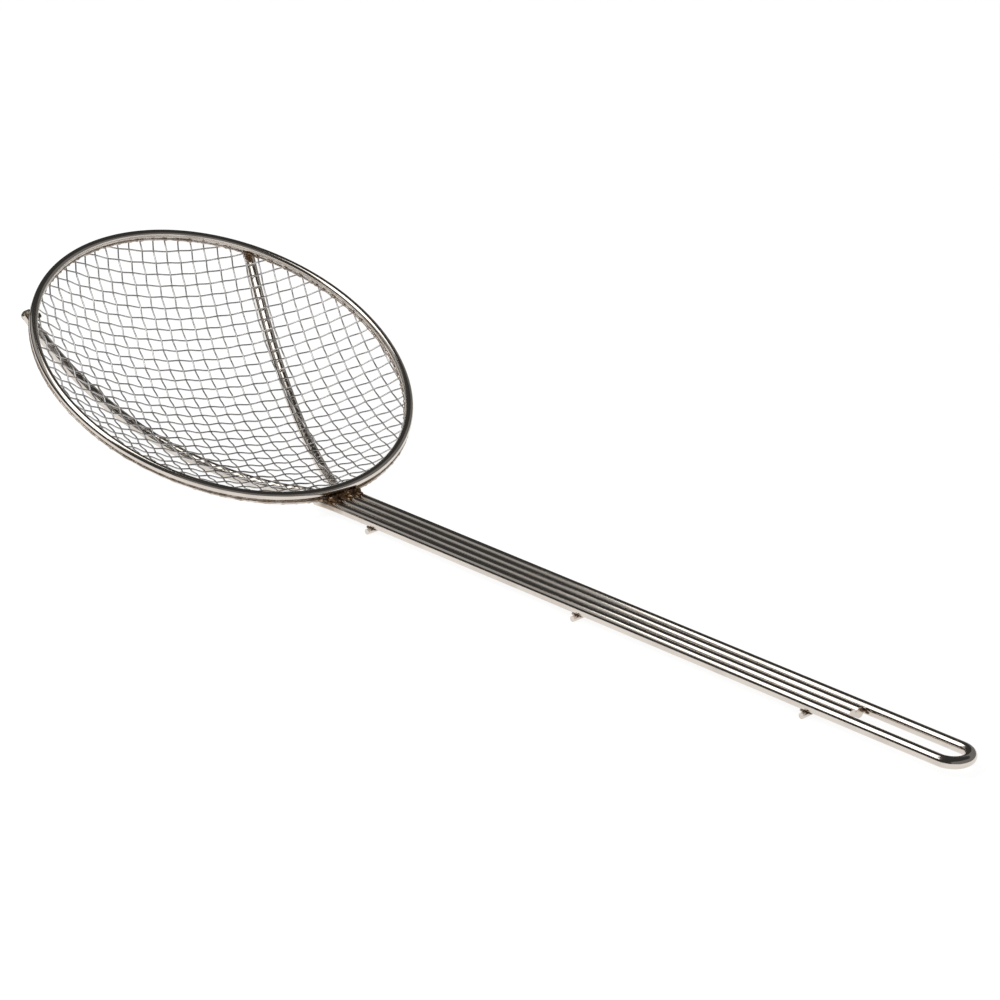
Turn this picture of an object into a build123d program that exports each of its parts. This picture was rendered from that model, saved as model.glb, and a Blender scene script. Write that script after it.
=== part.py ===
from build123d import *
import os
from math import asin, atan2, ceil, cos, floor, pi, radians, sin, sqrt

# Spider skimmer: a wire hoop with a dish of woven square wire mesh under it, carried by a
# handle of four round wires side by side. Millimetres and degrees.
# X runs along the handle towards its tip, Z is up, and the skimmer rests on the three
# crossbars under the handle. The origin is at the bottom centre of the whole object.

# Rim hoop and dish
rim_diameter = 203.0
rim_wire = 4.4
dish_depth = 33.4
mesh_wire = 0.85
crosswise_pitch = 6.55
lengthwise_pitch = 7.2
mesh_turn = 72.8
mesh_overhang = 1.2
shortest_mesh_wire = 22.0

# Handle, its angle to the rim, and the crossbars under it
handle_wire = 5.5
handle_reach = 388.0
handle_angle = 25.9
hanging_slot_length = 56.0
crossbar_wire = 2.8
front_crossbar_station = 31.6
middle_crossbar_station = 170.6
rear_crossbar_setback = 19.9
crossbar_overhang = 1.2

# Bends of the wires where they leave the handle and pass under the dish
neck_bend_run = 4.5
left_wire_straight = 9.5
left_bend_run = 5.0
right_end_azimuth = 134.0
left_end_azimuth = -132.0
support_end_radius = 102.4

# Braze metal
inner_braze = 1.4
outer_braze = 1.0
braze_sides = 6
neck_braze_wire = 3.0
crossbar_braze_wire = 1.0

# Clearances between pieces that touch
seat = 0.02
braze_seat = 0.05
weave_seat = 0.03

# Shares: a square section as heavy as the round mesh wire, where the first wire of each
# family lies in its pitch, how skewed a crossing near the rim is, how far round the rim
# wire the outer braze sits, and how much of the handle's width the neck braze covers
square_wire_share = 0.886
crosswise_start_share = -0.018
lengthwise_start_share = 0.328
crossing_skew_share = 1.17
outer_braze_turn_share = 0.55
neck_braze_length_share = 0.93

# Sizes that follow
rim_radius = (rim_diameter - rim_wire) / 2
mesh_side = mesh_wire * square_wire_share
wire_radius = handle_wire / 2
inner_y = (handle_wire + seat) / 2
outer_y = inner_y + handle_wire + seat
crossbar_radius = crossbar_wire / 2
inner_wire_reach = handle_reach - handle_wire - hanging_slot_length
rear_crossbar_station = inner_wire_reach - rear_crossbar_setback
handle_height = crossbar_wire + seat + wire_radius


def crimp_depth():
    """How far a mesh wire's middle rises and falls, so that the wires just clear."""
    depth = mesh_side / 2
    for _ in range(8):
        slopes = 2 * depth / crosswise_pitch + 2 * depth / lengthwise_pitch
        peaks = sqrt(1 + (2 * depth / crosswise_pitch) ** 2) + sqrt(1 + (2 * depth / lengthwise_pitch) ** 2)
        depth = (mesh_side / 2 * (peaks + crossing_skew_share * slopes) + weave_seat) / 2
    return depth


crimp = crimp_depth()
steepest_peak = sqrt(1 + (2 * crimp / min(crosswise_pitch, lengthwise_pitch)) ** 2)
half_mesh = crimp + mesh_side / 2 * steepest_peak

# The dish is part of a sphere that passes under the rim wire at this distance
rim_to_mesh = rim_wire / 2 + seat + half_mesh
dish_radius = (rim_radius ** 2 + dish_depth ** 2 - rim_to_mesh ** 2) / (2 * (dish_depth - rim_to_mesh))
centre_height = dish_radius - dish_depth
support_radius = dish_radius + half_mesh + seat + wire_radius

# The rim's front point stands straight above the end of the handle at this height
lean_sine = sin(radians(handle_angle))
lean_cosine = cos(radians(handle_angle))
reach_term = rim_radius * lean_sine + centre_height * lean_cosine
excess = rim_radius ** 2 + centre_height ** 2 - support_radius ** 2 - neck_bend_run ** 2
rim_lift = sqrt(reach_term ** 2 - excess) - reach_term

rim_centre = Vector(-rim_radius * lean_cosine, 0, handle_height + rim_lift + rim_radius * lean_sine)
rim_normal = Vector(lean_sine, 0, lean_cosine)
rim_place = Location(Plane(origin=rim_centre, x_dir=(lean_cosine, 0, -lean_sine), z_dir=rim_normal))
sphere_centre = rim_centre + rim_normal * centre_height


def braze_ring(radius, height, bead):
    """A closed bead of braze around the rim's axis, with flat sides and a corner at the rim."""
    to_rim = atan2(-height, rim_radius - radius)
    corners = []
    for side in range(braze_sides):
        turn = to_rim + 2 * pi * side / braze_sides
        corners.append(Vector(radius + bead / 2 * cos(turn), 0, height + bead / 2 * sin(turn)))
    section = Face(Wire.make_polygon(corners, close=True))
    return Solid.revolve(section, 360, Axis.Z).moved(rim_place)


def mesh_line(place, reach, pitch, start_share, parity):
    """Stations along one mesh wire: distance from the middle, and rise (+) or fall (-)."""
    half_length = sqrt(reach ** 2 - (abs(place) + mesh_side / 2) ** 2)
    first = -dish_radius * asin(half_length / dish_radius) / pitch - start_share
    last = dish_radius * asin(half_length / dish_radius) / pitch - start_share
    inner = [n for n in range(ceil(first), floor(last) + 1) if n - first > braze_seat and last - n > braze_seat]
    stations = []
    for n in [first] + inner + [last]:
        low = floor(n)
        rise = 1 - 2 * (n - low)
        if (low + parity) % 2:
            rise = -rise
        stations.append((dish_radius * sin((n + start_share) * pitch / dish_radius), rise))
    return stations


def mesh_solid(place, stations, along, across):
    """A square wire that zigzags through the dish on a plane at a set place."""
    plane_radius = sqrt(dish_radius ** 2 - place ** 2)
    lengthen = dish_radius / plane_radius
    half_thick = mesh_side / 2 * steepest_peak * lengthen
    upper = []
    lower = []
    for distance, rise in stations:
        depth = sqrt(plane_radius ** 2 - distance ** 2)
        inward = Vector(along.X * -distance, along.Y * -distance, depth) / plane_radius
        middle = along * distance + across * place + Vector(0, 0, centre_height - depth)
        middle = middle + inward * (crimp * rise * lengthen)
        upper.append(middle + inward * half_thick)
        lower.append(middle - inward * half_thick)
    width = (across * plane_radius + Vector(0, 0, place)) * (mesh_side / dish_radius)
    outline = [point - width / 2 for point in upper + lower[::-1]]
    side = Face(Wire.make_polygon(outline, close=True))
    return Solid.extrude(side, width).moved(rim_place)


def mesh_family(own_pitch, own_share, other_pitch, other_share, along, across, parity):
    """All wires of one direction, each its own solid, over and under the other direction."""
    reach = rim_radius + mesh_overhang
    last = ceil(reach / own_pitch)
    wires = []
    for n in range(-last, last + 1):
        place = dish_radius * sin((n + own_share) * own_pitch / dish_radius)
        if abs(place) < sqrt(reach ** 2 - (shortest_mesh_wire / 2) ** 2):
            stations = mesh_line(place, reach, other_pitch, other_share, n + parity)
            wires.append(mesh_solid(place, stations, along, across))
    return wires


def round_wire(edges, diameter):
    """A round wire along joined runs and tangent arcs."""
    path = Wire(edges)
    section = Plane(origin=path @ 0, z_dir=path % 0) * Circle(diameter / 2)
    return sweep(section, path=path)


def touch_point(corner, target):
    """Where the tangent from a corner towards a target first touches the support sphere."""
    out = corner - sphere_centre
    level = target - sphere_centre
    level = (level - out * (level.dot(out) / out.dot(out))).normalized()
    back = support_radius ** 2 / out.length
    aside = support_radius * sqrt(out.length ** 2 - support_radius ** 2) / out.length
    return sphere_centre + out.normalized() * back + level * aside


def under_dish(azimuth):
    """The end of a support wire's middle line, past the rim at an azimuth round it."""
    drop = centre_height - sqrt(support_radius ** 2 - support_end_radius ** 2)
    turn = radians(azimuth)
    local = Vector(support_end_radius * cos(turn), support_end_radius * sin(turn), drop)
    return (rim_place * Location(local)).position


def neck_corner(y):
    """Where a handle wire's straight run ends, at the foot of the rim, and its bend's start."""
    corner = Vector(0, y, handle_height)
    run = sqrt(neck_bend_run ** 2 + y ** 2)
    return corner, corner + Vector(run, 0, 0)


def neck_arc_end(y):
    """Where a wire that stays in its own upright plane meets the support sphere."""
    corner, _ = neck_corner(y)
    middle = Vector(sphere_centre.X, y, sphere_centre.Z)
    radius = sqrt(support_radius ** 2 - y ** 2)
    out = corner - middle
    aside = Vector(out.Z, 0, -out.X).normalized()
    if aside.X > 0:
        aside = -aside
    spread = radius * sqrt(out.length ** 2 - radius ** 2) / out.length
    return middle + out.normalized() * (radius ** 2 / out.length) + aside * spread


def right_support_wire():
    """From its cut end along the handle, then turned at the neck and under the dish."""
    corner, bend = neck_corner(inner_y)
    end = under_dish(right_end_azimuth)
    touch = touch_point(corner, end)
    run = Line((inner_wire_reach, inner_y, handle_height), bend)
    turn = TangentArc(bend, touch, tangent=(-1, 0, 0))
    return round_wire([run, turn, TangentArc(touch, end, tangent=touch - corner)], handle_wire)


def left_support_wire():
    """From its cut end along the handle, straight on under the rim, then turned aside."""
    corner, bend = neck_corner(-inner_y)
    touch = neck_arc_end(-inner_y)
    middle = Vector(sphere_centre.X, -inner_y, sphere_centre.Z)
    swing = left_wire_straight / support_radius
    spoke = touch - middle
    ahead = (touch - corner).normalized()
    leave = middle + spoke * cos(swing) + ahead * (spoke.length * sin(swing))
    heading = ahead * cos(swing) - spoke.normalized() * sin(swing)
    second_corner = leave + heading * left_bend_run
    end = under_dish(left_end_azimuth)
    second_touch = touch_point(second_corner, end)
    edges = [
        Line((inner_wire_reach, -inner_y, handle_height), bend),
        TangentArc(bend, touch, tangent=(-1, 0, 0)),
        TangentArc(touch, leave, tangent=ahead),
        TangentArc(leave, second_touch, tangent=heading),
        TangentArc(second_touch, end, tangent=second_touch - second_corner),
    ]
    return round_wire(edges, handle_wire)


def handle_loop():
    """The outer hairpin: a left leg bent down under the rim, the round tip, a right leg."""
    corner, bend = neck_corner(-outer_y)
    end = neck_arc_end(-outer_y)
    tip = handle_reach - wire_radius - outer_y
    right_end = neck_corner(inner_y)[1].X + seat
    left_start = Vector(tip, -outer_y, handle_height)
    right_start = Vector(tip, outer_y, handle_height)
    edges = [
        TangentArc(end, bend, tangent=corner - end),
        Line(bend, left_start),
        TangentArc(left_start, right_start, tangent=(1, 0, 0)),
        Line(right_start, (right_end, outer_y, handle_height)),
    ]
    return round_wire(edges, handle_wire)


def crosswise_rod(x, z, diameter, length):
    """A straight round rod across the handle."""
    middle = Plane(origin=(x, -length / 2, z), z_dir=(0, 1, 0))
    return Solid.make_cylinder(diameter / 2, length, middle)


def crossbar(station):
    length = 2 * (outer_y + wire_radius + crossbar_overhang)
    return crosswise_rod(station, crossbar_radius, crossbar_wire, length)


def crossbar_braze(station):
    """Two beads of braze, before and behind a crossbar, in the corner under the wires."""
    bead = crossbar_braze_wire / 2
    height = crossbar_wire + seat - braze_seat - bead
    apart = crossbar_radius + bead + braze_seat
    offset = sqrt(apart ** 2 - (height - crossbar_radius) ** 2)
    length = 2 * outer_y
    return [crosswise_rod(station + side * offset, height, crossbar_braze_wire, length) for side in (-1, 1)]


def inner_rim_braze():
    """The bead in the inner corner between the rim wire and the mesh."""
    from_rim = rim_wire / 2 + braze_seat + inner_braze / 2
    from_centre = dish_radius - half_mesh - braze_seat - inner_braze / 2
    apart = sqrt(rim_radius ** 2 + centre_height ** 2)
    along = (from_centre ** 2 + apart ** 2 - from_rim ** 2) / (2 * apart)
    aside = sqrt(from_centre ** 2 - along ** 2)
    radius = (rim_radius * along - centre_height * aside) / apart
    height = centre_height - (centre_height * along + rim_radius * aside) / apart
    return braze_ring(radius, height, inner_braze)


def outer_rim_braze():
    """The bead outside, under the rim wire, that covers the cut ends of the mesh."""
    from_rim = rim_wire / 2 + braze_seat + outer_braze / 2
    turn = radians(90 * outer_braze_turn_share)
    return braze_ring(rim_radius + from_rim * cos(turn), -from_rim * sin(turn), outer_braze)


def neck_braze():
    """The bead across the handle wires, in the corner outside the rim."""
    height = handle_height + wire_radius + braze_seat + neck_braze_wire / 2
    down = handle_height + rim_lift - height
    bead_turn = radians(90 * outer_braze_turn_share + handle_angle)
    from_rim = rim_wire / 2 + braze_seat + outer_braze / 2
    bead_x = from_rim * cos(bead_turn)
    bead_down = from_rim * sin(bead_turn)
    from_bead = outer_braze / 2 + neck_braze_wire / 2 + braze_seat
    past_bead = bead_x + sqrt(from_bead ** 2 - min(abs(down - bead_down), from_bead) ** 2)
    length = 2 * (outer_y + wire_radius) * neck_braze_length_share
    return crosswise_rod(past_bead, height, neck_braze_wire, length)


stations = {
    "front": front_crossbar_station,
    "middle": middle_crossbar_station,
    "rear": rear_crossbar_station,
}
crosswise = (crosswise_pitch, crosswise_start_share)
lengthwise = (lengthwise_pitch, lengthwise_start_share)
crosswise_way = Vector(cos(radians(mesh_turn)), sin(radians(mesh_turn)), 0)
lengthwise_way = Vector(-sin(radians(mesh_turn)), cos(radians(mesh_turn)), 0)
pieces = {
    "rim_hoop": [Solid.make_torus(rim_radius, rim_wire / 2).moved(rim_place)],
    "mesh_crosswise_wires": mesh_family(*crosswise, *lengthwise, crosswise_way, lengthwise_way, 0),
    "mesh_lengthwise_wires": mesh_family(*lengthwise, *crosswise, lengthwise_way, crosswise_way, 1),
    "inner_rim_braze": [inner_rim_braze()],
    "outer_rim_braze": [outer_rim_braze()],
    "handle_loop": [handle_loop()],
    "left_support_wire": [left_support_wire()],
    "right_support_wire": [right_support_wire()],
    "neck_braze": [neck_braze()],
}
for name, station in stations.items():
    pieces[name + "_crossbar"] = [crossbar(station)]
    pieces[name + "_crossbar_braze"] = crossbar_braze(station)

# The origin goes to the bottom centre of the whole object
box = Compound([solid for solids in pieces.values() for solid in solids]).bounding_box()
to_origin = Location((-box.center().X, -box.center().Y, -box.min.Z))

os.makedirs("parts", exist_ok=True)
for name, solids in pieces.items():
    placed = [solid.moved(to_origin) for solid in solids]
    export_step(placed[0] if len(placed) == 1 else Compound(placed), "parts/" + name + ".step")
print("overall", [round(size, 2) for size in tuple(box.size)])
print("crimp", round(crimp, 3), "dish radius", round(dish_radius, 2), "rim lift", round(rim_lift, 3))
print("origin shift", [round(value, 3) for value in tuple(to_origin.position)])
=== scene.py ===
import bpy
from math import radians

import bmesh
import numpy as np
from mathutils import Matrix, Vector, noise

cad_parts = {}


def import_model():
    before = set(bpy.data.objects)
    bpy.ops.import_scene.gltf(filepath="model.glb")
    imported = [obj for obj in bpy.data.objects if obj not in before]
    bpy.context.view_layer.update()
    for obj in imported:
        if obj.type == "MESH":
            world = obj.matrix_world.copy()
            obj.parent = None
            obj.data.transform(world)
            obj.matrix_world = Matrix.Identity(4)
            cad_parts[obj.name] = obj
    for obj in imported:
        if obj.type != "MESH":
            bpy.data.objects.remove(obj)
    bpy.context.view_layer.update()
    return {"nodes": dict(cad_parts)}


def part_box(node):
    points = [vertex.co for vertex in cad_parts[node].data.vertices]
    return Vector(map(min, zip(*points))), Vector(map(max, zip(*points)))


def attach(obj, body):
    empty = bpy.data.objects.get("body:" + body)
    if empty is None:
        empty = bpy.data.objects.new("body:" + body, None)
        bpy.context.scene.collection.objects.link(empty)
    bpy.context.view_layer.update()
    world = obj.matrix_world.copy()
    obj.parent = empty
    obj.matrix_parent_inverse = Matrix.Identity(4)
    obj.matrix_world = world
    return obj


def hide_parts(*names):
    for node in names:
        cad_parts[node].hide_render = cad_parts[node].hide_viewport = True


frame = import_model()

# Sizes in metres, the same as the solids are made from
RIM_RADIUS = 0.0993
RIM_WIRE = 0.0044
DISH_DEPTH = 0.0334
MESH_WIRE = 0.00085
MESH_OVERHANG = 0.0012
CROSSWISE_PITCH = 0.00655
LENGTHWISE_PITCH = 0.0072
MESH_TURN = radians(72.8)
CROSSWISE_START_SHARE = -0.018
LENGTHWISE_START_SHARE = 0.328
SHORTEST_MESH_WIRE = 0.022
HANDLE_ANGLE = radians(25.9)
HANDLE_WIRE = 0.0055
HANDLE_WIRES = 4
WIRE_SPACING = 0.00552
RIGHT_END_AZIMUTH = radians(134)
LEFT_END_AZIMUTH = radians(-132)
SUPPORT_END_RADIUS = 0.1024
RING_BRAZE = {"inner_rim_braze": 0.0014, "outer_rim_braze": 0.001}

# The dish is part of a sphere under the rim, and the support wires follow a larger one
MESH_REACH = RIM_RADIUS + MESH_OVERHANG
RIM_TO_MESH = RIM_WIRE / 2 + MESH_WIRE
DISH_RADIUS = (
    (RIM_RADIUS ** 2 + DISH_DEPTH ** 2 - RIM_TO_MESH ** 2) / (2 * (DISH_DEPTH - RIM_TO_MESH)))
CENTRE_HEIGHT = DISH_RADIUS - DISH_DEPTH
SUPPORT_RADIUS = DISH_RADIUS + MESH_WIRE + HANDLE_WIRE / 2
END_HEIGHT = CENTRE_HEIGHT - np.sqrt(SUPPORT_RADIUS ** 2 - SUPPORT_END_RADIUS ** 2)

# The rim's own axes: out towards the handle, across it, and up out of the dish
RIM_AXES = np.array([
    [np.cos(HANDLE_ANGLE), 0, -np.sin(HANDLE_ANGLE)],
    [0, 1, 0],
    [np.sin(HANDLE_ANGLE), 0, np.cos(HANDLE_ANGLE)],
])


def box_centre(node):
    low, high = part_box(node)
    return (np.array(low) + np.array(high)) / 2


# Places in the row frame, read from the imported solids
RIM_CENTRE = box_centre("rim_hoop")
HANDLE_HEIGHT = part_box("handle_loop")[1][2] - HANDLE_WIRE / 2
WIRE_PLACES = [WIRE_SPACING * (n - (HANDLE_WIRES - 1) / 2) for n in range(HANDLE_WIRES)]
NECK_X = box_centre("neck_braze")[0]
CUT_END_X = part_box("right_support_wire")[1][0]


def to_row(points):
    """Points on the rim's own axes, in the row frame."""
    return RIM_CENTRE + np.asarray(points) @ RIM_AXES


def new_object(name, vertices, faces, material, uvs=None):
    """A smooth mesh object with one material and, if given, a UV pair for each corner."""
    mesh = bpy.data.meshes.new(name)
    mesh.from_pydata([tuple(point) for point in vertices], [], faces)
    mesh.materials.append(material)
    if uvs is not None:
        layer = mesh.uv_layers.new(name="wire")
        layer.data.foreach_set("uv", np.asarray(uvs, dtype=np.float32).ravel())
    mesh.polygons.foreach_set("use_smooth", [True] * len(mesh.polygons))
    mesh.update()
    piece = bpy.data.objects.new(name, mesh)
    bpy.context.collection.objects.link(piece)
    return piece


def dress(piece, slot, *nodes):
    """Every piece is fixed to the one body; one that stands for nodes hides them."""
    if nodes:
        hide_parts(*nodes)
    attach(piece, "root")


# Materials

# The colour sockets of a Mix node
MIX_FIRST, MIX_SECOND, MIX_RESULT = 6, 7, 2

WARM = (0.68, 0.625, 0.565)
DULL = (0.47, 0.42, 0.37)
MESH_BRIGHT = (0.66, 0.65, 0.64)
MESH_DULL = (0.44, 0.43, 0.42)
HEAT_BROWN = (0.20, 0.12, 0.06)

# Noise: waves in a metre, but waves round the wire for the first of the UV lines
UV_LINES = (22, 6, 1)
HANDLE_LINES = (6, 1100, 1100)
PATCH_WAVES, SPECK_WAVES = 55.0, 1400.0
BLOTCH_WAVES, GRAIN_WAVES = 260.0, 1800.0

# Map ranges: noise low and high, then the two values that they give
DULL_PATCHES = (0.46, 0.68, 0.0, 0.75)
HEAT_PATCHES = (0.35, 0.6, 0.25, 0.85)
HOLLOWS = (0.38, 0.62, 0.0, 1.0)

# Wear: noise low and high. Gloss: what the roughness is multiplied by there
WIRE_WEAR, WIRE_GLOSS = (0.1, 0.45), (0.6, 1.7)
BRAZE_WEAR, BRAZE_GLOSS = (0.35, 0.65), (0.7, 1.4)

# A heat tint is full within this share of its reach
TINT_SHARE = 0.25
SPOT_SHARE, SPOT_STRENGTH = 0.3, 0.9
NECK_TINT_REACH = 0.011

# Bump: share of the finer noise, strength and distance
WIRE_RELIEF = (0.35, 0.25, 0.00006)
BRAZE_RELIEF = (0.3, 0.6, 0.0002)


def new_material(name):
    material = bpy.data.materials.new(name)
    material.use_nodes = True
    return material, material.node_tree.nodes, material.node_tree.links


def noise_node(nodes, links, vector, scale, detail):
    texture = nodes.new("ShaderNodeTexNoise")
    texture.inputs["Scale"].default_value = scale
    texture.inputs["Detail"].default_value = detail
    links.new(vector, texture.inputs["Vector"])
    return texture.outputs["Fac"]


def stretched(nodes, links, vector, scale):
    mapping = nodes.new("ShaderNodeMapping")
    mapping.inputs["Scale"].default_value = scale
    links.new(vector, mapping.inputs["Vector"])
    return mapping.outputs["Vector"]


def math_node(nodes, links, operation, first, second=None):
    node = nodes.new("ShaderNodeMath")
    node.operation = operation
    for socket, value in zip(node.inputs, (first, second)):
        if isinstance(value, (int, float)):
            socket.default_value = value
        elif value is not None:
            links.new(value, socket)
    return node.outputs["Value"]


def ranged(nodes, links, value, low, high, to_low, to_high):
    node = nodes.new("ShaderNodeMapRange")
    node.inputs["From Min"].default_value = low
    node.inputs["From Max"].default_value = high
    node.inputs["To Min"].default_value = to_low
    node.inputs["To Max"].default_value = to_high
    links.new(value, node.inputs["Value"])
    return node.outputs["Result"]


def mixed(nodes, links, factor, first, second):
    node = nodes.new("ShaderNodeMix")
    node.data_type = "RGBA"
    links.new(factor, node.inputs["Factor"])
    for index, value in ((MIX_FIRST, first), (MIX_SECOND, second)):
        if isinstance(value, tuple):
            node.inputs[index].default_value = (*value, 1)
        else:
            links.new(value, node.inputs[index])
    return node.outputs[MIX_RESULT]


def worn(nodes, links, shader, value, wear, gloss, roughness):
    """Roughness that follows a noise."""
    rough = ranged(nodes, links, value, *wear, roughness * gloss[0], roughness * gloss[1])
    links.new(rough, shader.inputs["Roughness"])


def bumped(nodes, links, shader, coarse, fine, relief):
    """A bump from two noises."""
    share, strength, distance = relief
    height = math_node(
        nodes, links, "ADD", coarse, math_node(nodes, links, "MULTIPLY", fine, share))
    bump = nodes.new("ShaderNodeBump")
    bump.inputs["Strength"].default_value = strength
    bump.inputs["Distance"].default_value = distance
    links.new(height, bump.inputs["Height"])
    links.new(bump.outputs["Normal"], shader.inputs["Normal"])


def new_metal(name):
    """A metal's nodes and links, its shader, and the place on the object."""
    material, nodes, links = new_material(name)
    shader = nodes["Principled BSDF"]
    shader.inputs["Metallic"].default_value = 1.0
    return material, nodes, links, shader, nodes.new("ShaderNodeTexCoord")


def drawn_wire(name, along_uv, roughness, bright=WARM, dulled=DULL, heat_places=()):
    """Bright plated wire: die lines along it, soft dull patches, brown tint near brazes."""
    material, nodes, links, shader, place = new_metal(name)
    where = place.outputs["Object"]
    if along_uv:
        along = stretched(nodes, links, place.outputs["UV"], UV_LINES)
    else:
        along = stretched(nodes, links, where, HANDLE_LINES)
    lines = noise_node(nodes, links, along, 1.0, 3.0)
    patches = noise_node(nodes, links, where, PATCH_WAVES, 4.0)
    specks = noise_node(nodes, links, where, SPECK_WAVES, 2.0)
    patchy = ranged(nodes, links, patches, *DULL_PATCHES)
    dull = math_node(nodes, links, "MULTIPLY", patchy, lines)
    colour = mixed(nodes, links, dull, bright, dulled)
    for centre, reach in heat_places:
        axis = nodes.new("ShaderNodeSeparateXYZ")
        links.new(where, axis.inputs["Vector"])
        offset = math_node(nodes, links, "SUBTRACT", axis.outputs["X"], centre)
        away = math_node(nodes, links, "ABSOLUTE", offset)
        near = ranged(nodes, links, away, reach, reach * TINT_SHARE, 0.0, 1.0)
        uneven = ranged(nodes, links, patches, *HEAT_PATCHES)
        tint = math_node(nodes, links, "MULTIPLY", near, uneven)
        colour = mixed(nodes, links, tint, colour, HEAT_BROWN)
    links.new(colour, shader.inputs["Base Color"])
    wear = math_node(nodes, links, "MULTIPLY", lines, patches)
    worn(nodes, links, shader, wear, WIRE_WEAR, WIRE_GLOSS, roughness)
    bumped(nodes, links, shader, lines, specks, WIRE_RELIEF)
    return material


def braze(name, pale, dark, roughness, dark_spots=()):
    """Lumpy braze metal with a grained surface and darker, heat-stained hollows."""
    material, nodes, links, shader, place = new_metal(name)
    where = place.outputs["Object"]
    blotch = noise_node(nodes, links, where, BLOTCH_WAVES, 5.0)
    grain = noise_node(nodes, links, where, GRAIN_WAVES, 3.0)
    colour = mixed(nodes, links, ranged(nodes, links, blotch, *HOLLOWS), pale, dark)
    for spot, reach in dark_spots:
        gap = nodes.new("ShaderNodeVectorMath")
        gap.operation = "DISTANCE"
        gap.inputs[1].default_value = spot
        links.new(where, gap.inputs[0])
        near = ranged(
            nodes, links, gap.outputs["Value"], reach, reach * SPOT_SHARE, 0.0, SPOT_STRENGTH)
        colour = mixed(nodes, links, near, colour, HEAT_BROWN)
    links.new(colour, shader.inputs["Base Color"])
    worn(nodes, links, shader, blotch, BRAZE_WEAR, BRAZE_GLOSS, roughness)
    bumped(nodes, links, shader, blotch, grain, BRAZE_RELIEF)
    return material


handle_metal = drawn_wire(
    "drawn_handle_wire", along_uv=False, roughness=0.13, heat_places=[(NECK_X, NECK_TINT_REACH)])
crossbar_metal = drawn_wire("drawn_crossbar_wire", along_uv=False, roughness=0.18)
rim_metal = drawn_wire("drawn_rim_wire", along_uv=True, roughness=0.13)
mesh_metal = drawn_wire(
    "drawn_mesh_wire", along_uv=True, roughness=0.24, bright=MESH_BRIGHT, dulled=MESH_DULL)
dark_metal = braze("dark_braze", (0.30, 0.19, 0.11), (0.09, 0.05, 0.03), roughness=0.38)
olive_metal = braze("support_end_braze", (0.30, 0.26, 0.18), (0.12, 0.09, 0.06), roughness=0.36)
grey_metal = braze("crossbar_braze", (0.52, 0.46, 0.40), (0.20, 0.15, 0.11), roughness=0.34)


# Woven mesh

MESH_SIDES = 8
STATIONS_PER_CROSSING = 10

# A hair more than half a wire, so that crossing wires don't run into each other
WEAVE_SWING = MESH_WIRE / 2 * 1.01


def tube_rings(path, radii, sides, first_normal):
    """Rings of points round a path, with frames carried along it without twist."""
    tangents = np.gradient(path, axis=0)
    tangents /= np.linalg.norm(tangents, axis=1)[:, None]
    normal = np.array(first_normal, dtype=float)
    angles = np.arange(sides) * 2 * np.pi / sides
    cosines, sines = np.cos(angles)[:, None], np.sin(angles)[:, None]
    rings = []
    for point, tangent, radius in zip(path, tangents, radii):
        normal = normal - tangent * (normal @ tangent)
        normal /= np.linalg.norm(normal)
        side = np.cross(tangent, normal)
        rings.append(point + radius * (cosines * normal + sines * side))
    return np.array(rings)


def add_tube(bag, rings, lengths, closed=False):
    """Adds a tube to a bag of vertices, faces and UVs: a ring, or with flat closed ends."""
    vertices, faces, uvs = bag
    count, sides, _ = rings.shape
    base = sum(len(part) for part in vertices)
    vertices.append(rings.reshape(-1, 3))
    for i in range(count if closed else count - 1):
        step_end = lengths[i + 1] if i + 1 < len(lengths) else 2 * lengths[i] - lengths[i - 1]
        for j in range(sides):
            k = (j + 1) % sides
            low = base + i * sides
            high = base + (i + 1) % count * sides
            faces.append((low + j, low + k, high + k, high + j))
            uvs += [(j / sides, lengths[i]), ((j + 1) / sides, lengths[i])]
            uvs += [((j + 1) / sides, step_end), (j / sides, step_end)]
    if not closed:
        for start, order in ((base, -1), (base + (count - 1) * sides, 1)):
            faces.append(tuple(start + j for j in range(sides))[::order])
            uvs += [(0.5, lengths[0 if order < 0 else -1])] * sides


def finish_bag(name, bag, material):
    return new_object(name, np.vstack(bag[0]), bag[1], material, bag[2])


def woven_wires(name, node, own, other, along, across, parity):
    """Round wires of one direction that rise over and dip under the other direction.

    Gives the azimuths round the rim at which they end.
    """
    own_pitch, own_share = own
    other_pitch, other_share = other
    bag = ([], [], [])
    ends = []
    last = int(np.ceil(MESH_REACH / own_pitch))
    for n in range(-last, last + 1):
        place = DISH_RADIUS * np.sin((n + own_share) * own_pitch / DISH_RADIUS)
        if abs(place) >= np.sqrt(MESH_REACH ** 2 - (SHORTEST_MESH_WIRE / 2) ** 2):
            continue
        half = np.sqrt(MESH_REACH ** 2 - (abs(place) + MESH_WIRE / 2) ** 2)
        limit = DISH_RADIUS * np.arcsin(half / DISH_RADIUS) / other_pitch
        count = int(2 * limit * STATIONS_PER_CROSSING)
        station = np.linspace(-limit - other_share, limit - other_share, count)
        distance = DISH_RADIUS * np.sin((station + other_share) * other_pitch / DISH_RADIUS)
        depth = np.sqrt(DISH_RADIUS ** 2 - place ** 2 - distance ** 2)
        middle = distance[:, None] * along + place * across
        middle[:, 2] = CENTRE_HEIGHT - depth
        inward = (np.array([0, 0, CENTRE_HEIGHT]) - middle) / DISH_RADIUS
        sign = 1 if (n + parity) % 2 == 0 else -1
        rise = np.cos(np.pi * station) * sign
        path = to_row(middle + inward * (WEAVE_SWING * rise)[:, None])
        rings = tube_rings(path, np.full(len(path), MESH_WIRE / 2), MESH_SIDES, RIM_AXES[2])
        add_tube(bag, rings, station * other_pitch + n)
        ends += [np.arctan2(point[1], point[0]) for point in (middle[0], middle[-1])]
    piece = finish_bag(name, bag, mesh_metal)
    dress(piece, "mesh_wire", node)
    return ends


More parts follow.
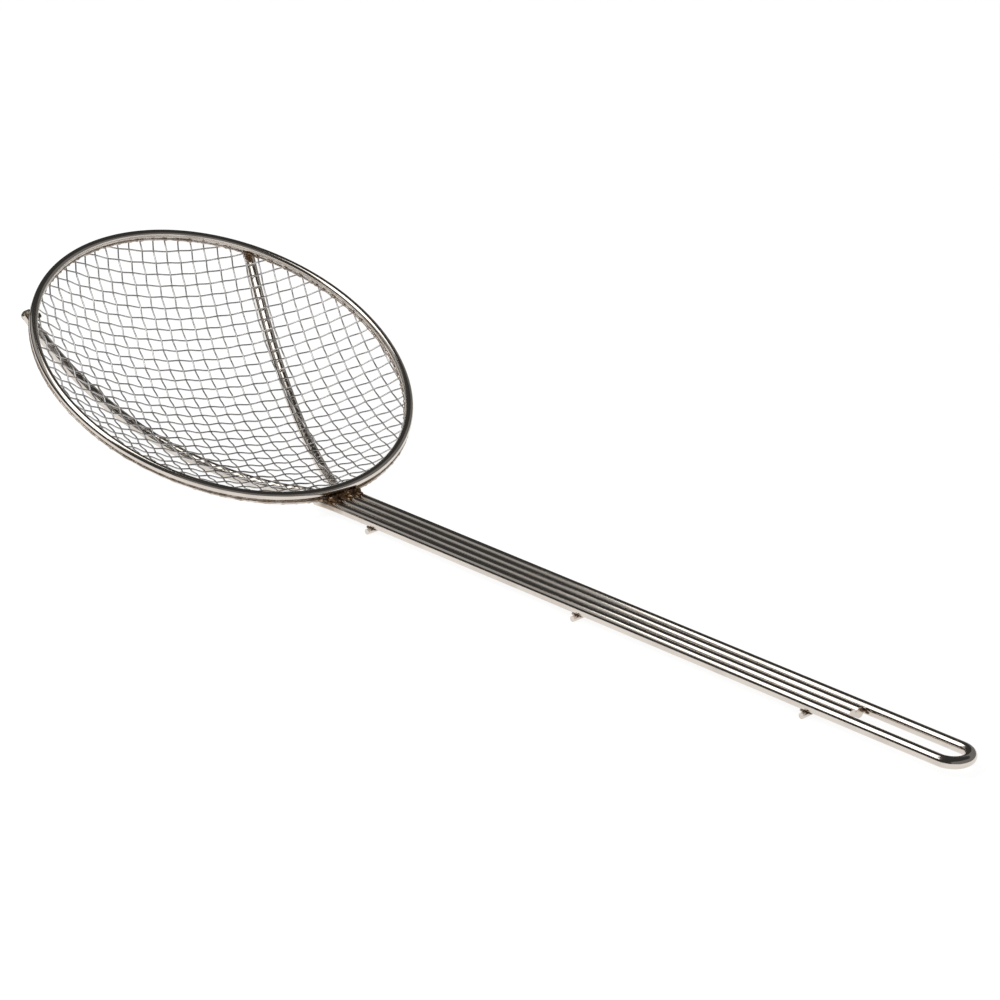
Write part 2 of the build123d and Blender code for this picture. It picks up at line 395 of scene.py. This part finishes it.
CROSSWISE_WAY = np.array([np.cos(MESH_TURN), np.sin(MESH_TURN), 0])
LENGTHWISE_WAY = np.array([-np.sin(MESH_TURN), np.cos(MESH_TURN), 0])
CROSSWISE = (CROSSWISE_PITCH, CROSSWISE_START_SHARE)
LENGTHWISE = (LENGTHWISE_PITCH, LENGTHWISE_START_SHARE)
mesh_ends = woven_wires(
    "woven_crosswise", "mesh_crosswise_wires", CROSSWISE, LENGTHWISE,
    CROSSWISE_WAY, LENGTHWISE_WAY, parity=0)
mesh_ends += woven_wires(
    "woven_lengthwise", "mesh_lengthwise_wires", LENGTHWISE, CROSSWISE,
    LENGTHWISE_WAY, CROSSWISE_WAY, parity=1)


# Rim wire and its brazes

RIM_STEPS, RIM_SIDES = 720, 32
BEAD_STEPS, BEAD_SIDES = 2880, 10

# A bead's swellings: waves round the rim, and heights as shares of its radius
COARSE_WAVES, FINE_WAVES = 7, 45
COARSE_SWELL, FINE_SWELL = 0.28, 0.22
FINE_SEED_STEP = 5
WIRE_END_REACH = 0.0008
SWELL_BETWEEN_WIRES = 0.4
BEAD_LEAST = 0.85
NECK_SPREAD = radians(38)

# Heat stains on the rim's braze, over the ends of the support wires and at the neck
STAIN_RADIUS = RIM_RADIUS * 0.975
STAIN_HEIGHT = -0.0042
SUPPORT_STAIN_REACH = 0.009
NECK_STAIN_REACH = 0.03


def ring_path(radius, height, steps):
    turn = np.arange(steps) * 2 * np.pi / steps
    flat = np.stack([radius * np.cos(turn), radius * np.sin(turn), height + 0 * turn], axis=1)
    return turn, to_row(flat)


def outwards(turn):
    """The way out from the rim's middle at each turn round it."""
    return np.stack([np.cos(turn), np.sin(turn), 0 * turn], axis=1) @ RIM_AXES


def closed_rings(turn, path, radii, sides):
    """Sections of a closed ring, each in the plane through the rim's axis."""
    angles = np.arange(sides) * 2 * np.pi / sides
    out = outwards(turn)
    up = RIM_AXES[2]
    across = np.cos(angles)[None, :, None] * out[:, None, :]
    offsets = across + np.sin(angles)[None, :, None] * up
    return path[:, None, :] + radii[:, None, None] * offsets


def rim_wire():
    turn, path = ring_path(RIM_RADIUS, 0.0, RIM_STEPS)
    bag = ([], [], [])
    rings = closed_rings(turn, path, np.full(len(turn), RIM_WIRE / 2), RIM_SIDES)
    add_tube(bag, rings, turn * RIM_RADIUS, closed=True)
    piece = finish_bag("rim_wire", bag, rim_metal)
    dress(piece, "plated_wire", "rim_hoop")


def braze_place(node):
    """Radius and height of a CAD ring of braze, from its box across the handle and its lift."""
    low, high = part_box(node)
    radius = (high[1] - low[1]) / 2 - RING_BRAZE[node] / 2
    centre = box_centre(node) - RIM_CENTRE
    return radius, centre @ RIM_AXES[2]


def braze_swell(turn, seed, at_wires):
    """How much a braze bead swells along the rim: uneven, and wider where a mesh wire ends."""
    swell = np.empty(len(turn))
    for i, angle in enumerate(turn):
        x, y = np.cos(angle), np.sin(angle)
        coarse = Vector((x * COARSE_WAVES, y * COARSE_WAVES, seed))
        fine = Vector((x * FINE_WAVES, y * FINE_WAVES, seed + FINE_SEED_STEP))
        swell[i] = COARSE_SWELL * noise.noise(coarse) + FINE_SWELL * noise.noise(fine)
    for end in mesh_ends:
        gap = np.abs((turn - end + np.pi) % (2 * np.pi) - np.pi) * RIM_RADIUS
        peak = at_wires * np.exp(-(gap / WIRE_END_REACH) ** 2)
        swell = np.maximum(swell, peak + swell * SWELL_BETWEEN_WIRES)
    return swell


def rim_bead(name, node, seed, at_wires, lean, near_neck=0.0):
    """An uneven bead of braze round the rim; lean moves its swellings towards the dish."""
    size = RING_BRAZE[node]
    radius, height = braze_place(node)
    turn, path = ring_path(radius, height, BEAD_STEPS)
    from_neck = (turn + np.pi) % (2 * np.pi) - np.pi
    growth = 1 + near_neck * np.exp(-(from_neck / NECK_SPREAD) ** 2)
    path = path - np.outer((growth - 1) * size * 0.5, RIM_AXES[2])
    swell = braze_swell(turn, seed, at_wires)
    moved = path - outwards(turn) * (np.maximum(swell, 0) * lean * size)[:, None]
    radii = size / 2 * growth * (BEAD_LEAST + swell)
    bag = ([], [], [])
    add_tube(bag, closed_rings(turn, moved, radii, BEAD_SIDES), turn * radius, closed=True)
    piece = finish_bag(name, bag, bead_metal)
    dress(piece, "rim_braze", node)


support_ends = [
    (STAIN_RADIUS * np.cos(azimuth), STAIN_RADIUS * np.sin(azimuth), STAIN_HEIGHT)
    for azimuth in (RIGHT_END_AZIMUTH, LEFT_END_AZIMUTH)
]
stained = [(tuple(to_row(spot)), SUPPORT_STAIN_REACH) for spot in support_ends]
stained.append(((NECK_X, 0, HANDLE_HEIGHT), NECK_STAIN_REACH))
bead_metal = braze(
    "rim_braze", (0.72, 0.64, 0.57), (0.50, 0.42, 0.35), roughness=0.3, dark_spots=stained)
rim_wire()
rim_bead("inner_bead", "inner_rim_braze", seed=3, at_wires=0.35, lean=0.5)
rim_bead("outer_bead", "outer_rim_braze", seed=11, at_wires=0.3, lean=0.3, near_neck=1.6)


# Lumps of dark braze

DROP_SUBDIVISIONS = 3
SOFTEN_FACTOR, SOFTEN_ROUNDS = 0.6, 6
COARSE_GRAIN, FINE_GRAIN = 900, 2300
FINE_GRAIN_SHARE = 0.5

# Voxel in which the drops run together, and height of the grain
NECK_FINISH = (0.00022, 0.00016)
CROSSBAR_FINISH = (0.00015, 0.00008)
TACK_FINISH = (0.00015, 0.00009)
SUPPORT_FINISH = (0.0002, 0.0003)

# Neck drops: place along and above from the neck's middle and the wires' tops, and radii
NECK_BAR = ((-0.0014, 0.0009), (0.0021, 0.0020, 0.0014))
NECK_CREST = ((-0.0006, 0.0008), (0.0019, 0.0026, 0.0014))
NECK_TONGUE = ((0.0010, 0.0001), (0.0026, 0.0017, 0.0006))
NECK_FILL = ((0.0004, -0.0011), (0.0032, 0.0013, 0.0013))
TONGUE_STEP, FILL_STEP = 0.0005, 0.0006
NECK_CLOSER = 0.97

# Crossbar drops: how far in from the braze's end, aside and down from its top, and radii
CORNER_IN, CORNER_ASIDE, CORNER_DOWN = 0.0004, 0.0002, 0.00035
CORNER_REACH, CORNER_REACH_STEP = 0.0011, 0.0003
CORNER_WIDTH, CORNER_HEIGHT = 0.0017, 0.00062
SEAM_IN, SEAM_DOWN = 0.0005, 0.0004
SEAM_REACH, SEAM_PAST_WIRES, SEAM_HEIGHT = 0.00055, 0.0004, 0.00045

# Tack drops: place from the cut end and the wires' middle line, and radii
TACK = ((-0.0006, 0.0, 0.0002), (0.0021, 0.0009, 0.0009))
TACK_TAIL = ((0.0016, 0.0003, -0.0004), (0.0016, 0.0006, 0.0008))

# Support drops, from the rim out to the wire's end: radius, height and size on the rim's axes
SUPPORT_DROPS = (
    (0.0965, -0.0045, 0.0014),
    (0.0988, -0.0042, 0.0018),
    (0.1012, END_HEIGHT + 0.0002, 0.0026),
    (0.1018, END_HEIGHT - 0.0006, 0.0027),
    (0.1012, END_HEIGHT + 0.0018, 0.0014),
)
SUPPORT_DROP_WIDTH, SUPPORT_DROP_HEIGHT = 1.1, 1.05


def lumps(name, drops, finish, metal, *nodes):
    """Overlapping drops of metal run together into one closed, uneven lump."""
    voxel, grain_height = finish
    joined = bmesh.new()
    for centre, radii in drops:
        place = Matrix.LocRotScale(Vector(centre), None, Vector(radii))
        bmesh.ops.create_icosphere(
            joined, subdivisions=DROP_SUBDIVISIONS, radius=1.0, matrix=place)
    mesh = bpy.data.meshes.new(name + "_drops")
    joined.to_mesh(mesh)
    joined.free()
    raw = bpy.data.objects.new(name + "_drops", mesh)
    bpy.context.collection.objects.link(raw)
    merge = raw.modifiers.new("merge", "REMESH")
    merge.mode = "VOXEL"
    merge.voxel_size = voxel
    soften = raw.modifiers.new("soften", "SMOOTH")
    soften.factor = SOFTEN_FACTOR
    soften.iterations = SOFTEN_ROUNDS
    bpy.context.view_layer.update()
    evaluated = raw.evaluated_get(bpy.context.evaluated_depsgraph_get())
    merged = bpy.data.meshes.new_from_object(evaluated)
    bpy.data.objects.remove(raw)
    for vertex in merged.vertices:
        fine = FINE_GRAIN_SHARE * noise.noise(vertex.co * FINE_GRAIN)
        rough = noise.noise(vertex.co * COARSE_GRAIN) + fine
        vertex.co += vertex.normal * rough * grain_height
    merged.materials.clear()
    merged.materials.append(metal)
    merged.polygons.foreach_set("use_smooth", [True] * len(merged.polygons))
    piece = bpy.data.objects.new(name, merged)
    bpy.context.collection.objects.link(piece)
    dress(piece, "dark_braze", *nodes)


def neck_lump():
    """Braze run over the handle wires at the foot of the rim and up its outside."""
    top = HANDLE_HEIGHT + HANDLE_WIRE / 2
    (along, above), (reach, past_wires, height) = NECK_BAR
    bar_radii = (reach, WIRE_PLACES[-1] + past_wires, height)
    drops = [((NECK_X + along, 0, top + above), bar_radii)]
    for n, y in enumerate(WIRE_PLACES):
        (along, above), radii = NECK_CREST
        drops.append(((NECK_X + along, y * NECK_CLOSER, top + above), radii))
        (along, above), radii = NECK_TONGUE
        x = NECK_X + along + TONGUE_STEP * (n % 2)
        drops.append(((x, y * NECK_CLOSER, top + above), radii))
    (along, above), radii = NECK_FILL
    for n, (y, next_y) in enumerate(zip(WIRE_PLACES, WIRE_PLACES[1:])):
        drops.append(((NECK_X + along + FILL_STEP * n, (y + next_y) / 2, top + above), radii))
    lumps("neck_lump", drops, NECK_FINISH, dark_metal, "neck_braze")


def crossbar_lumps(which):
    """Braze in the corners between a crossbar and each handle wire above it."""
    low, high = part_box(which + "_crossbar_braze")
    drops = []
    for side, x in ((-1, low[0]), (1, high[0])):
        for n, y in enumerate(WIRE_PLACES):
            reach = CORNER_REACH + CORNER_REACH_STEP * ((n + side) % 3)
            place = (x - side * CORNER_IN, y + CORNER_ASIDE * side, high[2] - CORNER_DOWN)
            drops.append((place, (reach, CORNER_WIDTH, CORNER_HEIGHT)))
        middle = (x - side * SEAM_IN, 0, high[2] - SEAM_DOWN)
        seam_radii = (SEAM_REACH, WIRE_PLACES[-1] + SEAM_PAST_WIRES, SEAM_HEIGHT)
        drops.append((middle, seam_radii))
    lumps(which + "_crossbar_lumps", drops, CROSSBAR_FINISH, grey_metal,
          which + "_crossbar_braze")


def cut_end_tacks():
    """Small tacks between the inner and outer handle wires, at the cut ends."""
    for name, side in (("left_end_tack", -1), ("right_end_tack", 1)):
        drops = []
        for (along, aside, above), radii in (TACK, TACK_TAIL):
            y = side * WIRE_SPACING + side * aside
            drops.append(((CUT_END_X + along, y, HANDLE_HEIGHT + above), radii))
        lumps(name, drops, TACK_FINISH, dark_metal)


def support_end_lumps():
    """Braze between the rim and the end of each support wire, run over the wire's end."""
    ends = (
        ("right_support_lump", RIGHT_END_AZIMUTH, dark_metal),
        ("left_support_lump", LEFT_END_AZIMUTH, olive_metal),
    )
    for name, azimuth, metal in ends:
        drops = []
        for radius, height, size in SUPPORT_DROPS:
            spot = to_row((radius * np.cos(azimuth), radius * np.sin(azimuth), height))
            width = size * SUPPORT_DROP_WIDTH
            drops.append((spot, (width, width, size * SUPPORT_DROP_HEIGHT)))
        lumps(name, drops, SUPPORT_FINISH, metal)


neck_lump()
for which in ("front", "middle", "rear"):
    crossbar_lumps(which)
cut_end_tacks()
support_end_lumps()

# The CAD solids that stay in view
NODE_METAL = {
    "handle_loop": handle_metal,
    "left_support_wire": handle_metal,
    "right_support_wire": handle_metal,
    "front_crossbar": crossbar_metal,
    "middle_crossbar": crossbar_metal,
    "rear_crossbar": crossbar_metal,
}
for node, metal in NODE_METAL.items():
    mesh = frame["nodes"][node].data
    mesh.materials.clear()
    mesh.materials.append(metal)


# Studio

FLOOR_REACH = 8.0
FLOOR_GLOW = 0.89
FLOOR_SHADE = 0.22
FLOOR_PLAIN = 0.8
WORLD_AS_LIGHT = 0.5

WALL_REACH = 1.6
WALL_HEIGHT = 1.5
BACK_SPLIT = -0.75
DARK, GREY, VEIL = 0.045, 0.20, 0.42

SOFTBOX_HEIGHT = 0.6
SOFTBOX_LEFT, SOFTBOX_RIGHT = -0.38, 0.0
SOFTBOX_NEAR, SOFTBOX_FAR = -0.74, 0.05
SOFTBOX_WATTS = 2.2
VEIL_NEAR, VEIL_FAR = -0.7, -0.1

CAMERA_AZIMUTH = radians(44.333)
CAMERA_ELEVATION = radians(21.959)
CAMERA_ROLL = radians(1.589)
CAMERA_DISTANCE = 1.4
CAMERA_AIM = Vector(RIM_CENTRE) + Vector((0.20661, -0.00728, -0.01283))
CAMERA_SENSOR_MM = 36.0
CAMERA_LENS_MM = 108.0
CAMERA_CLIP_END = 50.0


def seen_by_view_or_mirror(nodes, links):
    """1 for camera, mirror and glass rays, 0 for the rays that carry light to surfaces."""
    path = nodes.new("ShaderNodeLightPath")
    camera_ray, glossy_ray = path.outputs["Is Camera Ray"], path.outputs["Is Glossy Ray"]
    either = math_node(nodes, links, "MAXIMUM", camera_ray, glossy_ray)
    return math_node(nodes, links, "MAXIMUM", either, path.outputs["Is Transmission Ray"])


def level_corners(left, right, near, far, height):
    return [(left, near, height), (right, near, height), (right, far, height), (left, far, height)]


def upright_corners(start, end):
    """A wall that stands on the floor between two places."""
    return [(*start, 0), (*end, 0), (*end, WALL_HEIGHT), (*start, WALL_HEIGHT)]


def floor():
    """White where it is seen, with enough plain diffuse in it to take the shadow."""
    size = FLOOR_REACH
    corners = level_corners(-size, size, -size, size, 0)
    material, nodes, links = new_material("floor")
    nodes.remove(nodes["Principled BSDF"])
    plain = nodes.new("ShaderNodeBsdfDiffuse")
    plain.inputs["Color"].default_value = (FLOOR_PLAIN, FLOOR_PLAIN, FLOOR_PLAIN, 1)
    shade = nodes.new("ShaderNodeBsdfDiffuse")
    shade.inputs["Color"].default_value = (FLOOR_SHADE, FLOOR_SHADE, FLOOR_SHADE, 1)
    glow = nodes.new("ShaderNodeEmission")
    glow.inputs["Strength"].default_value = FLOOR_GLOW
    both = nodes.new("ShaderNodeAddShader")
    links.new(shade.outputs["BSDF"], both.inputs[0])
    links.new(glow.outputs["Emission"], both.inputs[1])
    choose = nodes.new("ShaderNodeMixShader")
    links.new(seen_by_view_or_mirror(nodes, links), choose.inputs["Fac"])
    links.new(plain.outputs["BSDF"], choose.inputs[1])
    links.new(both.outputs["Shader"], choose.inputs[2])
    links.new(choose.outputs["Shader"], nodes["Material Output"].inputs["Surface"])
    new_object("floor", corners, [(0, 1, 2, 3)], material)


def card(name, corners, brightness):
    """A flat card that only mirror rays see, as the dark and grey walls of a studio."""
    material, nodes, links = new_material(name)
    nodes.remove(nodes["Principled BSDF"])
    glow = nodes.new("ShaderNodeEmission")
    glow.inputs["Strength"].default_value = brightness
    links.new(glow.outputs["Emission"], nodes["Material Output"].inputs["Surface"])
    piece = new_object(name, corners, [(0, 1, 2, 3)], material)
    piece.visible_camera = False
    piece.visible_diffuse = False
    piece.visible_transmission = False
    piece.visible_shadow = False


def walls():
    """Dark and grey walls, a roof and a veil, which only the mirror-bright metal shows."""
    low, high = -WALL_REACH, WALL_REACH
    back_left, back_right, back_middle = (low, high), (high, high), (BACK_SPLIT, high)
    front_left, front_right = (low, low), (high, low)
    card("back_left_card", upright_corners(back_left, back_middle), DARK)
    card("back_card", upright_corners(back_middle, back_right), GREY)
    card("front_card", upright_corners(front_left, front_right), DARK)
    card("left_card", upright_corners(front_left, back_left), DARK)
    card("right_card", upright_corners(front_right, back_right), GREY)
    card("veil_card", level_corners(low, SOFTBOX_LEFT, VEIL_NEAR, VEIL_FAR, SOFTBOX_HEIGHT), VEIL)
    card("roof_card", level_corners(low, high, low, high, WALL_HEIGHT), DARK)


def world():
    """White where it is seen or mirrored, softer as light."""
    scene_world = bpy.data.worlds.new("studio")
    bpy.context.scene.world = scene_world
    scene_world.use_nodes = True
    nodes = scene_world.node_tree.nodes
    links = scene_world.node_tree.links
    seen = seen_by_view_or_mirror(nodes, links)
    strength = ranged(nodes, links, seen, 0.0, 1.0, WORLD_AS_LIGHT, 1.0)
    links.new(strength, nodes["Background"].inputs["Strength"])
    nodes["Background"].inputs["Color"].default_value = (1, 1, 1, 1)


def softbox():
    """A level lamp over the camera's side, from beyond the dish to the middle of the part."""
    data = bpy.data.lights.new("softbox", "AREA")
    data.shape = "RECTANGLE"
    data.size = SOFTBOX_RIGHT - SOFTBOX_LEFT
    data.size_y = SOFTBOX_FAR - SOFTBOX_NEAR
    data.energy = SOFTBOX_WATTS
    piece = bpy.data.objects.new("softbox", data)
    piece.location = (
        (SOFTBOX_LEFT + SOFTBOX_RIGHT) / 2, (SOFTBOX_NEAR + SOFTBOX_FAR) / 2, SOFTBOX_HEIGHT)
    piece.visible_camera = False
    bpy.context.collection.objects.link(piece)


def camera():
    """The photograph's view, with a long lens from the front right."""
    data = bpy.data.cameras.new("camera")
    data.sensor_width = CAMERA_SENSOR_MM
    data.lens = CAMERA_LENS_MM
    data.clip_end = CAMERA_CLIP_END
    piece = bpy.data.objects.new("camera", data)
    bpy.context.collection.objects.link(piece)
    tilt = radians(90) - CAMERA_ELEVATION
    turn = Matrix.Rotation(CAMERA_AZIMUTH, 3, "Z") @ Matrix.Rotation(tilt, 3, "X")
    turn = turn @ Matrix.Rotation(CAMERA_ROLL, 3, "Z")
    piece.rotation_euler = turn.to_euler()
    piece.location = CAMERA_AIM + turn @ Vector((0, 0, CAMERA_DISTANCE))
    bpy.context.scene.camera = piece


floor()
walls()
world()
camera()
softbox()
bpy.context.scene.view_settings.view_transform = "Standard"
